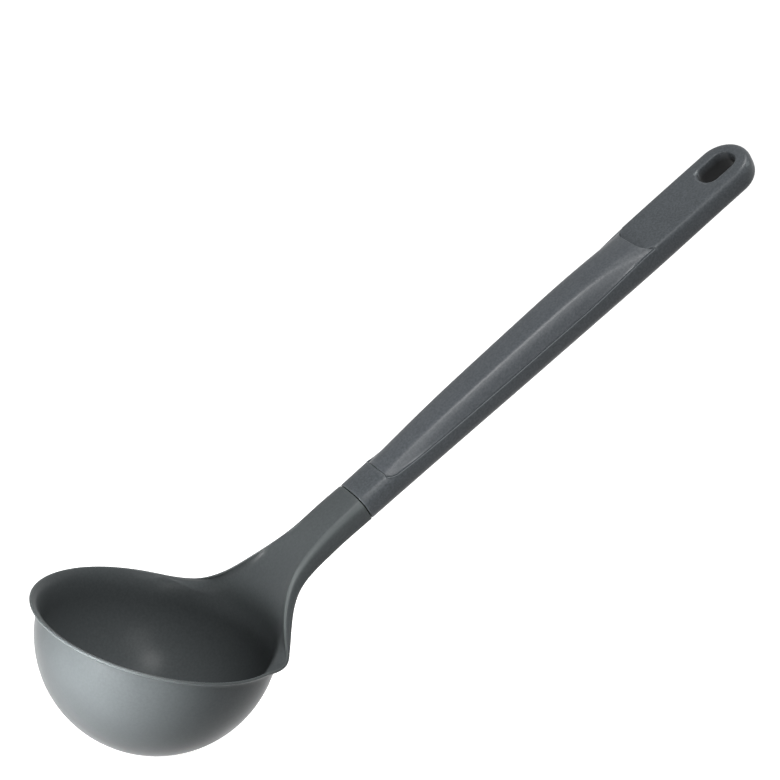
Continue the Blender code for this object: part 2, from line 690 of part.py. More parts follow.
def inlay_section(along, ease):
    half_width, above, _, exponent, _ = SECTIONS(along)
    side, rise, ridge = INLAY_SHAPE(along)
    low = skirt_height(along)
    body = half_width, above, exponent
    edge = half_width * power(math.cos(skin_level(body, low)), 2 / exponent) + side - ease
    top = above + rise - ease
    slope = (top - TOP_DROP - low) / (edge - ridge)
    radius = INLAY_EDGE_RADIUS
    corner = [(edge - inset - lift / slope, low + lift)
              for inset, lift in ((radius, 0), (0.3 * radius, 0.3 * radius), (0, radius))]
    start = corner[-1][0]
    crown = [(across, roof_height(abs(across), edge, low, top, ridge))
             for across in spread(start, -start, INLAY_POINTS + 1)[1:-1]]
    over = corner + crown + [(-across, up) for across, up in corner[::-1]]
    inner = half_width - INLAY_DEPTH, above - INLAY_DEPTH, exponent
    return crescent(along, low, over, inner)


def seat_section(along, ease):
    half_width, above, _, exponent, _ = SECTIONS(along)
    low = skirt_height(along) - GAP
    outer = half_width + SEAT_CLEARING, above + SEAT_CLEARING, exponent
    depth = INLAY_DEPTH + GAP
    inner = half_width - depth, above - depth, exponent
    return crescent(along, low, skin_arc(outer, low, INLAY_POINTS + 5), inner)


def inlay_loft(name, section, extra_length, material=None):
    """Solid along the inlay with rounded upper edges at both ends."""
    radius = INLAY_EDGE_RADIUS
    start = INLAY_START - extra_length
    end = INLAY_END + extra_length
    bend_start = INLAY_END - BEND_RUN_IN
    places = [start + radius, *spread(INLAY_START + 2, INLAY_START + TONGUE_LENGTH, 2),
              *spread(INLAY_START + 1.5 * TONGUE_LENGTH, bend_start, 9),
              *spread(bend_start, end - radius, 5)[1:]]
    stations = [(start, radius), (start + 0.3 * radius, 0.3 * radius)]
    stations += [(along, 0) for along in places]
    stations += [(end - 0.3 * radius, 0.3 * radius), (end, radius)]
    bm, _ = loft([section(along, ease) for along, ease in stations], strip=True)
    return mesh_object(name, bm, material)


def seat_cutter():
    """Seat for the inlay, larger by the clearance and open above the skin."""
    return inlay_loft("seat_cutter", seat_section, GAP)


def make_grip_inlay(material, handle_axis):
    inlay = inlay_loft("grip_inlay", inlay_section, 0, material)
    inlay.parent = handle_axis
    finish(inlay)


# Materials

def plastic(name, colour, roughness):
    material = bpy.data.materials.new(name)
    material.use_nodes = True
    shader = material.node_tree.nodes["Principled BSDF"]
    shader.inputs["Base Color"].default_value = (*colour, 1)
    shader.inputs["Roughness"].default_value = roughness
    shader.inputs["Metallic"].default_value = 0
    return material


def make_handle_axis():
    """Empty at the seam, with +X up the handle and +Z out of its top."""
    axis = bpy.data.objects.new("handle_axis", None)
    bpy.context.collection.objects.link(axis)
    axis.location = Vector((NECK_REACH, 0, BOWL_CENTRE + NECK_LIFT)) * MM
    axis.rotation_euler = (0, -HANDLE_RISE, 0)
    return axis


def build():
    clear_scene()
    head_plastic = plastic("head_plastic", (0.058, 0.066, 0.068), 0.42)
    handle_plastic = plastic("handle_plastic", (0.085, 0.093, 0.098), 0.45)
    grip_rubber = plastic("grip_rubber", (0.095, 0.103, 0.107), 0.55)
    axis = make_handle_axis()
    make_head(head_plastic, axis)
    make_handle_body(handle_plastic, axis)
    make_grip_inlay(grip_rubber, axis)


build()
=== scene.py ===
import math

import bmesh
import bpy
import numpy as np
from mathutils import Matrix, Vector


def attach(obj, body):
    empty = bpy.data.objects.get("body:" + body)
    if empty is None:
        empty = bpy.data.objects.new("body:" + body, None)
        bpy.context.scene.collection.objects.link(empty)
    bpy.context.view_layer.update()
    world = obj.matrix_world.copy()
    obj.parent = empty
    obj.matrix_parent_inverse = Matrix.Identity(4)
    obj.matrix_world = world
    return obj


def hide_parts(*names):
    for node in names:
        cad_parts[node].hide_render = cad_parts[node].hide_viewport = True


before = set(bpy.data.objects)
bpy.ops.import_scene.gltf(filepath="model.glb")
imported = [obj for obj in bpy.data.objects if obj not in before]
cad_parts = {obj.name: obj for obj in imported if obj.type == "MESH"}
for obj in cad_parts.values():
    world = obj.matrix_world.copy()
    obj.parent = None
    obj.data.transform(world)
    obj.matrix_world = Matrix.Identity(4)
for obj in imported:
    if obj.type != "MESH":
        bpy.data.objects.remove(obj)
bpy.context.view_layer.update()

# The ladle's sizes are in millimetres, and MM turns them into metres. The origin is the flat
# under the bowl, the rim is level and the handle rises towards +X.
MM = 0.001
CLOSE = 0.001              # what counts as no distance at all
MERGE = 0.005              # distance within which vertices are joined

# Bowl and lip, with heights from the centre of the bowl's sphere
LIP_RADIUS = 40.0
LIP_OVERHANG = 1.9         # how much further the lip reaches opposite the handle
BOWL_RADIUS = 38.4
WALL = 2.0
RIM_RISE = 3.5
LIP_THICKNESS = 1.0
FOOT_RADIUS = 4.5
BOWL_CENTRE = math.sqrt(BOWL_RADIUS ** 2 - FOOT_RADIUS ** 2)
INNER_RADIUS = BOWL_RADIUS - WALL
LIP_LAND = LIP_RADIUS - LIP_THICKNESS / 2
FLARE_START = -6.0         # height at which the inner wall starts to curl outwards
FLARE_LEAVE = 5.5          # how far that curl keeps near the wall's direction
FLARE_ARRIVE = 1.6         # and how far near the lip's
LIP_TILT = math.radians(12)
# Underside of the lip: share of its reach past the outer wall, and height
UNDER_LIP = ((0.75, 2.38), (0.45, 2.15), (0.2, 1.8), (0.06, 1.3), (0, 0.7))

# Neck and stem, which meet the handle in an oval seam
HANDLE_RISE = math.radians(47.6)
NECK_REACH = 62.3          # place of the seam's middle from the centre of the bowl's sphere
NECK_LIFT = 46.0
NECK_HALF_WIDTH = 7.5
NECK_HALF_HEIGHT = 5.9
NECK_ROUNDNESS = 2.7
CORNER_SHARE = 0.773       # part of the seam's half width at which top and side part
CORNER_RISE = (1 - CORNER_SHARE ** NECK_ROUNDNESS) ** (1 / NECK_ROUNDNESS)
NECK_CORNER_WIDTH = CORNER_SHARE * NECK_HALF_WIDTH
NECK_CORNER_HEIGHT = CORNER_RISE * NECK_HALF_HEIGHT
ROOT_ANGLE = 60            # half of the lip's sector that becomes the stem, in degrees
ROOT_SHARE = 0.3           # part of the stem's length that still has the wall's direction
SETTLED_SHARE = 0.8        # share at which the section across it is the neck's
LIP_LEAD = 16, 8, 0        # degrees before the root at which its edge still follows the lip
# Points of that edge between the lip and the seam
EDGE_LINE = (
    (24.9, 31.6, 3.4),
    (29.5, 28.2, 4.4),
    (31.7, 22.7, 7.9),
    (33.3, 17.3, 12.9),
    (35.9, 11.9, 19.9),
    (39.7, 8.5, 26.3),
    (45.1, 6.5, 33.2),
    (51.4, 5.9, 41.0),
)
# Share of the stem's length, and how far it has thickened from the wall to the neck there
THICKENING = ((0, 0), (0.1, 0.02), (0.25, 0.1), (0.4, 0.23), (0.5, 0.41), (0.6, 0.65),
              (0.7, 0.83), (0.8, 0.93), (0.9, 0.985), (1, 1))
FLARE_FADE = 0.7           # share of the stem's length at which its edge stops curling outwards
FLARE_POWERS = 5, 2.6      # how close to the edge that curl keeps, at the root and further up
CENTRE_FOOT = 1.6          # height at which the stem's top line leaves the inner wall
CENTRE_LIFT = 20.0         # how far it keeps upright there, and the handle's direction above
CENTRE_RUN = 22.0
CENTRE_START = 0.035       # part of that line which stays in the wall
CENTRE_PACE = 1.22
BLEND_LOW = -7.0           # height from which the wall runs up into the stem
BLEND_SHARE = 0.34         # share of the stem's length at which that run ends
BLEND_SIDE = 0.5           # part of the sector's width that it takes up whole

# Tang and its socket
TANG_LENGTH = 66.0
TANG_HALF_WIDTH = 4.5
TANG_HALF_HEIGHT = 2.8
TANG_DROP = 1.2            # how far the tang lies below the handle's axis
TANG_TAPER = 0.82          # its size at the end, as a share of that at the seam
TANG_CHAMFER = 1.0
TANG_TIP = 0.85            # what the chamfer leaves of the end's size
TANG_ROUNDNESS = 5.0
SOCKET_SPARE = 2.0
GAP = 0.3                  # clearance between the mouldings

# Handle body: share of the way to the middle of the round end, half width, height above and
# below the axis, and roundness exponents of the upper and the lower half
HANDLE_SECTIONS = (
    (0.0, NECK_HALF_WIDTH, NECK_HALF_HEIGHT, NECK_HALF_HEIGHT, NECK_ROUNDNESS, NECK_ROUNDNESS),
    (0.15, 7.8, 6.1, 6.2, 2.6, 2.7),
    (0.42, 8.6, 6.6, 6.8, 2.5, 2.7),
    (0.635, 9.2, 6.6, 7.0, 2.8, 2.8),
    (0.775, 9.7, 5.8, 6.6, 3.5, 3.0),
    (0.88, 10.0, 5.5, 5.9, 3.5, 3.2),
    (1.0, 10.0, 5.4, 5.7, 3.5, 3.4),
)
HANDLE_LENGTH = 176.4
END_CENTRE = HANDLE_LENGTH - HANDLE_SECTIONS[-1][1]
PAD_HEIGHT = 4.35
PAD_EASE = 1.0             # height over which the pad's shoulder rounds off
BACK_HEIGHT = 4.8
BACK_START = HANDLE_LENGTH - 35.4
BACK_RUN_IN = 22.0         # length over which the round underside flattens out to the back
BACK_RUN_IN_DROP = 2.4
EDGE_EASE = 0.35           # rounded edges at the seam
LEDGE_EASE = 0.35          # rounded edge of the body along the inlay's flanks
FRONT_EASE = 0.3           # the same at both ends of the inlay
STEEPEST = 0.97            # highest level on the skin, as a share of its top

# Hanging slot
SLOT_CENTRE = HANDLE_LENGTH - 12.2
SLOT_LENGTH = 14.2
SLOT_WIDTH = 9.0
SLOT_CORNER = 4.0
SLOT_EDGE = 0.7            # radius of its rounded edges
SLOT_EDGE_TURN = 85        # how far they turn, in degrees, short of level with the pad
CUTTER_SPARE = 1.0
BORE_FADE = 3.0            # depth below the edge at which the painted shade on its wall is darkest
BORE_MARGIN = 0.1          # how far past the slot a vertex still counts as on its wall
BORE_INSET = 0.3           # how far from the faces the wall starts

# Grip inlay
INLAY_START = 11.5
INLAY_END = HANDLE_LENGTH - 48.4
INLAY_DEPTH = 1.8
INLAY_SKIRT = 2.1          # height of its lower edge
INLAY_EDGE_RADIUS = 0.2
INLAY_END_RADIUS = 0.15
INLAY_GAP = 0.06           # clearance that is drawn round it
INLAY_SET_BACK = 0.3       # how far its side lies inside the body's skin
TONGUE_LENGTH = 4.5        # rounded lower end, where that edge sweeps up
TONGUE_SWEEP = 1.4
SKIRT_FALL = 1.1           # how much higher the edge is past the tongue, and how it fades
SKIRT_FALL_LENGTH = 14.0
# Share of the inlay's length, height of its top above the body's skin, and how far from the
# middle its ridge runs
INLAY_SECTIONS = (
    (0.0, 0.35, 4.5),
    (0.2, 1.1, 5.2),
    (0.545, 1.45, 5.5),
    (0.8, 1.3, 5.8),
    (0.93, 0.7, 6.3),
    (1.0, 0.2, 6.8),
)
TOP_DROP = 0.3             # how far the top falls from its middle to the ridge
RIDGE_ROUND = 1.6          # softness of the ridge
END_SWEEP = 1.4            # how far the lower edge sweeps up to the pad's shoulder
END_SWEEP_LENGTH = 32.0
BEND = 3.8                 # bow of the line between inlay and pad
BEND_HALF_WIDTH = 8.6
BEND_RUN_IN = 20.0
BEND_RUN_OUT = 22.0

# Mesh fineness of the head
SHARP_ANGLE = math.radians(50)
COLUMNS = 144
BOWL_ROWS = 30
FLARE_ROWS = 18
FLARE_SPARE = 0.5          # height left between the sphere's last row and the flare
LIP_ROWS = 8
STEM_ROWS = 48
STEM_ROW_PACE = 1.4        # above 1, the rows lie closer at the stem's root
# Steps of the rounded edges at the seam, in degrees
EASE_TURNS = 22.5, 45, 67.5, 90

# Mesh fineness of the handle, with close rings at the tongue and at the bend
SKIN_POINTS = 26
LEDGE_POINTS = 5
FLOOR_POINTS = 17
SEAT_TURNS = 30, 60, 90    # steps of the rounded edges at the seat's ends, in degrees
COLLAR_RINGS = 8
TONGUE_RINGS = 10
CLOSE_RINGS = 12
SEAT_RINGS = 24
BEND_RINGS = 16
PAD_RINGS = 30
FIRST_RING = 1.5
CLOSE_END = 28.0           # how far from the seat's start the close rings reach
# First step after the rings of the tongue, after the close ones and on the pad
TONGUE_STEP = 1.0
SEAT_STEP = 2.5
PAD_STEP = 1.2
END_STEPS = 40
CORNER_POINTS = 13
SLOT_EDGE_POINTS = 7

# Mesh fineness of the inlay: points of its section, and rings along the tongue, close to it,
# in the middle and along the bend
CROWN_POINTS = 71
EDGE_POINTS = 6
INLAY_RINGS = 9, 12, 22, 18
INLAY_CLOSE_END = 30.0
INLAY_STEP = 3.0

# Finish of the mouldings, in millimetres and in the range of each node's output
CLOUD_SIZE = 14.0          # flow marks of the melt
CLOUD_RANGE = 0.3, 0.7
CLOUD_SHARE = 0.35         # their part in the colour's mottle, beside the grain's specks
SPECK_RANGE = 0.35, 0.65
EDGE_WEAR_AND_HIGHLIGHT_RANGE = 0.51, 0.56    # pointiness of the lighter edges: worn by handling, and painted highlight along the ridges
RELIEF = 0.35              # how much of the grain's depth shows
SHEEN_RANGE = 0.28, 0.34   # roughness where the melt has flowed well, and where it hasn't
BORE_PAINTED_SHADE = "#0f1011"    # painted shade deep in the slot

# Studio, in metres. The camera's place, turn and lens come from the photograph's outline.
CAMERA_PLACE = -0.4767964, -0.6542338, 0.3855914
CAMERA_TURN = 72.13375, -15.60663, -34.55379
CAMERA_LENS = 129.2308     # millimetres, on a sensor 36 mm wide
FLOOR_HALF_SIZE = 6
DIM_LIGHT = 0.03           # what the white surroundings add to the lamps
MIDDLE = 0.03, 0, 0.08
BOWL_SIDE = 0, 0, 0.05
BOWL_FOOT = 0, 0, 0.03


# Curves and sections

def smooth_step(value):
    """Soft rise from 0 to 1."""
    value = min(max(value, 0.0), 1.0)
    return value * value * (3 - 2 * value)


def spread(first, last, count):
    """Evenly spaced values, both ends included."""
    return [first + (last - first) * i / (count - 1) for i in range(count)]


class Spline:
    """Natural cubic curve through points at rising parameter values."""

    def __init__(self, at, points):
        self.at = np.array(at, float)
        self.points = np.array(points, float)
        step = np.diff(self.at)
        count = len(self.at)
        system = np.eye(count)
        right = np.zeros_like(self.points)
        slope = np.diff(self.points, axis=0) / step[:, None]
        for i in range(1, count - 1):
            system[i, i - 1:i + 2] = step[i - 1], 2 * (step[i - 1] + step[i]), step[i]
            right[i] = 6 * (slope[i] - slope[i - 1])
        self.bend = np.linalg.solve(system, right)

    def __call__(self, value):
        i = int(np.clip(np.searchsorted(self.at, value) - 1, 0, len(self.at) - 2))
        step = self.at[i + 1] - self.at[i]
        a = (self.at[i + 1] - value) / step
        b = 1 - a
        bend = (a ** 3 - a) * self.bend[i] + (b ** 3 - b) * self.bend[i + 1]
        return a * self.points[i] + b * self.points[i + 1] + bend * step ** 2 / 6


def in_handle_axes(along, across, up):
    """Position, from the centre of the bowl's sphere, of a point in the handle's axes."""
    return np.array((
        NECK_REACH + along * math.cos(HANDLE_RISE) - up * math.sin(HANDLE_RISE),
        across,
        NECK_LIFT + along * math.sin(HANDLE_RISE) + up * math.cos(HANDLE_RISE),
    ))


def power(value, exponent):
    """Power that keeps the sign, for sections that are rounded rectangles."""
    return math.copysign(abs(value) ** exponent, value)


def bezier(start, second, third, end, t):
    """Point on a cubic curve."""
    return ((1 - t) ** 3 * start + 3 * t * (1 - t) ** 2 * second
            + 3 * t * t * (1 - t) * third + t ** 3 * end)


def path_lengths(points):
    """Distance along a path of each of its points."""
    steps = np.linalg.norm(np.diff(points, axis=0), axis=1)
    return np.concatenate(([0], np.cumsum(steps)))


# Meshes

def shade(mesh):
    """Smooth shading with sharp edges where the shape has them."""
    mesh.shade_smooth()
    mesh.set_sharp_from_angle(angle=SHARP_ANGLE)


def mesh_object(name, bm, material=None):
    """Object from a bmesh drawn in place, in metres."""
    bmesh.ops.recalc_face_normals(bm, faces=bm.faces)
    mesh = bpy.data.meshes.new(name)
    bm.to_mesh(mesh)
    bm.free()
    if material:
        mesh.materials.append(material)
    shade(mesh)
    item = bpy.data.objects.new(name, mesh)
    bpy.context.collection.objects.link(item)
    return item


def extrude_through(bm, cap, sections):
    """Extrudes a cap from section to section, by the vertices' numbers in a layer."""
    point = bm.verts.layers.int["point"]
    for section in sections:
        rim = list(dict.fromkeys(e for face in cap for e in face.edges))
        made = bmesh.ops.extrude_face_region(bm, geom=cap + rim)["geom"]
        for vertex in (g for g in made if isinstance(g, bmesh.types.BMVert)):
            vertex.co = section[vertex[point]]
        cap = [g for g in made if isinstance(g, bmesh.types.BMFace)]
    return cap


def extrude_ring(bm, ring, place):
    """Extrudes a ring of edges and puts each new vertex where place says."""
    made = bmesh.ops.extrude_edge_only(bm, edges=ring)["geom"]
    for vertex in (g for g in made if isinstance(g, bmesh.types.BMVert)):
        vertex.co = place(vertex)
    return [g for g in made if isinstance(g, bmesh.types.BMEdge)]


# Stem surface

def on_circle(radius, degrees, height, lip_share=1.0):
    """Point on the turned wall or, for a full lip share, on the lip with its overhang."""
    angle = math.radians(degrees)
    overhang = LIP_OVERHANG * lip_share * (1 - math.cos(angle)) / 2
    return radius * math.cos(angle) - overhang, radius * math.sin(angle), height


def edge_spline():
    """Line along the lip and up the stem's edge, with 0 at the root and 1 at the seam."""
    before = [on_circle(LIP_LAND, ROOT_ANGLE + turn, RIM_RISE) for turn in LIP_LEAD]
    end = tuple(in_handle_axes(0, NECK_CORNER_WIDTH, NECK_CORNER_HEIGHT))
    points = np.array(before + list(EDGE_LINE) + [end])
    length = path_lengths(points)
    root = length[len(before) - 1]
    return Spline((length - root) / (length[-1] - root), points)


EDGE = edge_spline()
GROWTH = Spline([row[0] for row in THICKENING], [row[1:] for row in THICKENING])


def centre_line(share):
    """Top line of the stem in the XZ plane and the elevation of its normal."""
    t = CENTRE_START + (1 - CENTRE_START) * share ** CENTRE_PACE
    start = np.array((INNER_RADIUS, CENTRE_FOOT))
    end = in_handle_axes(0, 0, NECK_HALF_HEIGHT)[[0, 2]]
    ahead = np.array((math.cos(HANDLE_RISE), math.sin(HANDLE_RISE)))
    second = start + (0, CENTRE_LIFT)
    third = end - CENTRE_RUN * ahead
    travel = ((1 - t) ** 2 * (second - start) + 2 * t * (1 - t) * (third - second)
              + t * t * (end - third))
    return bezier(start, second, third, end, t), math.atan2(travel[0], travel[1])


def cross_shape(side, share):
    """How far a point at -1..1 across the stem has moved sideways and towards the middle."""
    angle = math.radians(ROOT_ANGLE)
    arc_side = math.sin(angle * side) / math.sin(angle)
    arc_middle = (math.cos(angle * side) - math.cos(angle)) / (1 - math.cos(angle))
    crown = (1 - (CORNER_SHARE * abs(side)) ** NECK_ROUNDNESS) ** (1 / NECK_ROUNDNESS)
    flat_middle = (crown - CORNER_RISE) / (1 - CORNER_RISE)
    blend = smooth_step(share / SETTLED_SHARE)
    return (arc_side + (side - arc_side) * blend,
            arc_middle + (flat_middle - arc_middle) * blend)


def cross_point(side, share, edge, middle, flare):
    """Point across the stem, from a hollow middle out to an edge that curls outwards."""
    close, wide = FLARE_POWERS
    exponent = close + (wide - close) * smooth_step(share / ROOT_SHARE)
    across, inward = cross_shape(side, share)
    azimuth = math.atan2(edge[1], edge[0])
    root = edge - flare * np.array((math.cos(azimuth), math.sin(azimuth), 0))
    curl = flare * abs(side) ** exponent
    return np.array((
        root[0] + (middle[0] - root[0]) * inward + curl * math.cos(azimuth * side),
        root[1] * across + curl * math.sin(azimuth * side),
        root[2] + (middle[1] - root[2]) * inward,
    ))


def stem_point(side, layer, share):
    """Point of the stem's skin. Layer 0 is the top, 1 is underneath, and what lies between
    is on the rounded side. Share runs from the root to the seam."""
    edge = EDGE(share)
    middle, elevation = centre_line(share)
    growth = float(GROWTH(share)[0])
    fade = 1 - smooth_step(share / FLARE_FADE)
    thickness = WALL + (2 * NECK_HALF_HEIGHT - WALL) * growth
    edge_thickness = LIP_THICKNESS + (2 * NECK_CORNER_HEIGHT - LIP_THICKNESS) * growth
    upright = 1 - smooth_step(share / ROOT_SHARE)
    edge_elevation = elevation + (math.pi / 2 - elevation) * upright
    azimuth = math.atan2(edge[1], edge[0]) * (1 - share)
    normal = np.array((
        -math.cos(edge_elevation) * math.cos(azimuth),
        -math.cos(edge_elevation) * math.sin(azimuth),
        math.sin(edge_elevation),
    ))
    low_edge = edge - normal * edge_thickness
    low_middle = middle - thickness * np.array((-math.cos(elevation), math.sin(elevation)))
    if layer == 0:
        return cross_point(side, share, edge, middle, fade * (LIP_LAND - INNER_RADIUS))
    if layer == 1:
        return cross_point(side, share, low_edge, low_middle, fade * (LIP_LAND - BOWL_RADIUS))
    nudge = 0.01
    travel = EDGE(share + nudge) - EDGE(share - nudge)
    outward = np.cross(normal, travel)
    outward /= np.linalg.norm(outward)
    lip_bulge = LIP_THICKNESS / 2
    bulge = lip_bulge + (NECK_HALF_WIDTH - NECK_CORNER_WIDTH - lip_bulge) * growth
    swell = (1 - abs(2 * layer - 1) ** NECK_ROUNDNESS) ** (1 / NECK_ROUNDNESS)
    point = edge + (low_edge - edge) * layer + outward * bulge * swell
    point[1] = math.copysign(point[1], side)
    return point


# Head moulding

def inner_wall(height):
    """Radius of the inner sphere at a height, or of the straight wall above its middle."""
    return math.sqrt(INNER_RADIUS ** 2 - min(height, 0) ** 2)


def flare_point(t):
    """Radius and height on the curl from the inner wall out to the lip."""
    start = np.array((inner_wall(FLARE_START), FLARE_START))
    end = np.array((LIP_LAND, RIM_RISE))
    second = start + FLARE_LEAVE * np.array((-FLARE_START, start[0])) / INNER_RADIUS
    third = end - FLARE_ARRIVE * np.array((math.cos(LIP_TILT), math.sin(LIP_TILT)))
    return tuple(bezier(start, second, third, end, t))


def bowl_profile():
    """Half section from the inner floor over the lip to the foot: radius, height above the
    centre of the sphere, part of the section, and share of the lip's overhang."""
    rows = []
    for degrees in spread(-90, 0, BOWL_ROWS + 1):
        angle = math.radians(degrees)
        height = INNER_RADIUS * math.sin(angle)
        if height < FLARE_START - FLARE_SPARE:
            rows.append((INNER_RADIUS * math.cos(angle), height, "inner", 0))
    for t in spread(0, 1, FLARE_ROWS + 1)[:-1]:
        rows.append((*flare_point(t), "inner rise", t * t))
    rows.append((LIP_LAND, RIM_RISE, "lip top", 1))
    for share in spread(0, 1, LIP_ROWS + 1)[1:-1]:
        swell = LIP_THICKNESS / 2 * math.sin(math.pi * share)
        rows.append((LIP_LAND + swell, RIM_RISE - LIP_THICKNESS * share, share, 1))
    rows.append((LIP_LAND, RIM_RISE - LIP_THICKNESS, "lip bottom", 1))
    for out, height in UNDER_LIP:
        rows.append((BOWL_RADIUS + (LIP_LAND - BOWL_RADIUS) * out, height, "outer rise", out))
    foot_angle = math.acos(FOOT_RADIUS / BOWL_RADIUS)
    for angle in spread(0, -foot_angle, BOWL_ROWS + 1):
        rows.append((BOWL_RADIUS * math.cos(angle), BOWL_RADIUS * math.sin(angle), "outer", 0))
    return rows


def root_point(side, radius, height, part, lip_share):
    """Where a point near the lip moves in the sector that becomes the stem."""
    edge = np.array(on_circle(radius, ROOT_ANGLE, height, lip_share))
    middle, _ = centre_line(0)
    low = FLARE_START if part == "inner rise" else 0
    middle_height = low + (height - low) * (middle[1] - low) / (RIM_RISE - low)
    wall = inner_wall(height) if part == "inner rise" else BOWL_RADIUS
    middle_wall = inner_wall(middle_height) if part == "inner rise" else BOWL_RADIUS
    return cross_point(side, 0, edge, (middle_wall, middle_height), radius - wall)


def spin_bowl(bm, rows):
    """Turned bowl, with each vertex's profile row kept in a layer. The other layers are
    for the stem: place across it, place from top to underside, share and angle."""
    row_layer = bm.verts.layers.int.new("row")
    for name in ("side", "depth", "share", "angle"):
        bm.verts.layers.float.new(name)
    profile = []
    for number, (radius, height, _, _) in enumerate(rows):
        vertex = bm.verts.new((radius, 0, height))
        vertex[row_layer] = number
        profile.append(vertex)
    edges = [bm.edges.new(pair) for pair in zip(profile, profile[1:])]
    bmesh.ops.spin(bm, geom=profile + edges, cent=(0, 0, 0), axis=(0, 0, 1), dvec=(0, 0, 0),
                   angle=2 * math.pi, steps=COLUMNS, use_merge=True)
    bmesh.ops.remove_doubles(bm, verts=bm.verts, dist=MERGE)


def lip_rows(rows):
    """Numbers of the profile rows at the top and at the bottom of the lip."""
    parts = [row[2] for row in rows]
    return parts.index("lip top"), parts.index("lip bottom")


def open_stem_root(bm, rows):
    """Raises the lip in the stem's sector and opens its edge. Returns the open ring's edges."""
    row_layer = bm.verts.layers.int["row"]
    side_layer = bm.verts.layers.float["side"]
    depth_layer = bm.verts.layers.float["depth"]
    lip_top, lip_bottom = lip_rows(rows)
    cut = []
    for face in bm.faces:
        in_lip = all(lip_top <= v[row_layer] <= lip_bottom for v in face.verts)
        azimuth = math.degrees(math.atan2(*face.calc_center_median().yx))
        if in_lip and abs(azimuth) < ROOT_ANGLE:
            cut.append(face)
    bmesh.ops.delete(bm, geom=cut, context="FACES")
    for vertex in bm.verts:
        side = math.degrees(math.atan2(vertex.co.y, vertex.co.x)) / ROOT_ANGLE
        radius, height, part, lip_share = rows[vertex[row_layer]]
        vertex[side_layer] = side
        if abs(side) > 1 + CLOSE:
            vertex.co = on_circle(radius, side * ROOT_ANGLE, height, lip_share)
        elif part in ("inner rise", "outer rise"):
            vertex.co = root_point(side, radius, height, part, lip_share)
        elif part == "lip top":
            vertex.co = stem_point(side, 0, 0)
        elif part == "lip bottom":
            vertex.co = stem_point(side, 1, 0)
            vertex[depth_layer] = 1
        elif isinstance(part, float):
            vertex.co = stem_point(side, part, 0)
            vertex[depth_layer] = part
    return [e for e in bm.edges if e.is_boundary and all(v.co.z > 0 for v in e.verts)]


def tang_section(angle, grow=0.0, taper=1.0):
    """Across and up position on the tang's rounded rectangle."""
    across = (TANG_HALF_WIDTH * taper + grow) * power(math.cos(angle), 2 / TANG_ROUNDNESS)
    up = (TANG_HALF_HEIGHT * taper + grow) * power(math.sin(angle), 2 / TANG_ROUNDNESS)
    return across, up - TANG_DROP


def tang_taper(along):
    """Size of the tang's section at a place, as a share of that at the seam."""
    return 1 - (1 - TANG_TAPER) * along / TANG_LENGTH


def neck_angle(point):
    """Angle round the neck's axis of a point of its ring."""
    offset = np.array(point) - in_handle_axes(0, 0, 0)
    up = -offset[0] * math.sin(HANDLE_RISE) + offset[2] * math.cos(HANDLE_RISE)
    return math.atan2(up / NECK_HALF_HEIGHT, offset[1] / NECK_HALF_WIDTH)


def grow_stem(bm, ring):
    """Extrudes the open root up to the seam. Returns the last ring."""
    side_layer = bm.verts.layers.float["side"]
    depth_layer = bm.verts.layers.float["depth"]
    share_layer = bm.verts.layers.float["share"]
    for row in range(1, STEM_ROWS + 1):
        share = (row / STEM_ROWS) ** STEM_ROW_PACE
        ring = extrude_ring(
            bm, ring, lambda v: stem_point(v[side_layer], v[depth_layer], share))
        for vertex in {v for e in ring for v in e.verts}:
            vertex[share_layer] = share
    return ring


def ease_seam(bm, ring):
    """Rounds the stem's edge, which ends half the gap short of the seam. Returns the last
    ring."""
    angle_layer = bm.verts.layers.float["angle"]
    ahead = in_handle_axes(1, 0, 0) - in_handle_axes(0, 0, 0)
    setback = EDGE_EASE + GAP / 2
    centre = in_handle_axes(-setback, 0, 0)
    start = {}
    for vertex in {v for e in ring for v in e.verts}:
        vertex.co -= Vector(ahead) * setback
        angle = neck_angle(vertex.co)
        vertex[angle_layer] = angle
        start[round(angle, 5)] = np.array(vertex.co)
    for turn in EASE_TURNS:
        run = EDGE_EASE * math.sin(math.radians(turn))
        inset = EDGE_EASE * (1 - math.cos(math.radians(turn))) / NECK_HALF_HEIGHT

        def eased(vertex):
            place = start[round(vertex[angle_layer], 5)]
            return centre + (place - centre) * (1 - inset) + ahead * run

        ring = extrude_ring(bm, ring, eased)
    return ring


def grow_tang(bm, ring):
    """Steps in from the seam to the tang and closes its tip."""
    angle_layer = bm.verts.layers.float["angle"]
    for along in (-GAP / 2, TANG_LENGTH - TANG_CHAMFER, TANG_LENGTH):
        taper = tang_taper(max(along, 0)) * (TANG_TIP if along == TANG_LENGTH else 1)
        ring = extrude_ring(bm, ring, lambda v: in_handle_axes(
            along, *tang_section(v[angle_layer], taper=taper)))
    bmesh.ops.contextual_create(bm, geom=ring)


def blend_column(column, weight):
    """Moves a column of vertices onto one smooth curve between its two ends."""
    places = np.array([vertex.co for vertex in column])
    length = path_lengths(places)
    first, last = places[0], places[-1]
    reach = np.linalg.norm(last - first)
    leave = (places[1] - first) / np.linalg.norm(places[1] - first) * reach
    arrive = (last - places[-3]) / np.linalg.norm(last - places[-3]) * reach
    for vertex, place, t in zip(column, places, length / length[-1]):
        curve = (first * (1 + 2 * t) * (1 - t) ** 2 + leave * t * (1 - t) ** 2
                 + last * t * t * (3 - 2 * t) - arrive * t * t * (1 - t))
        vertex.co = Vector(place + (curve - place) * weight)


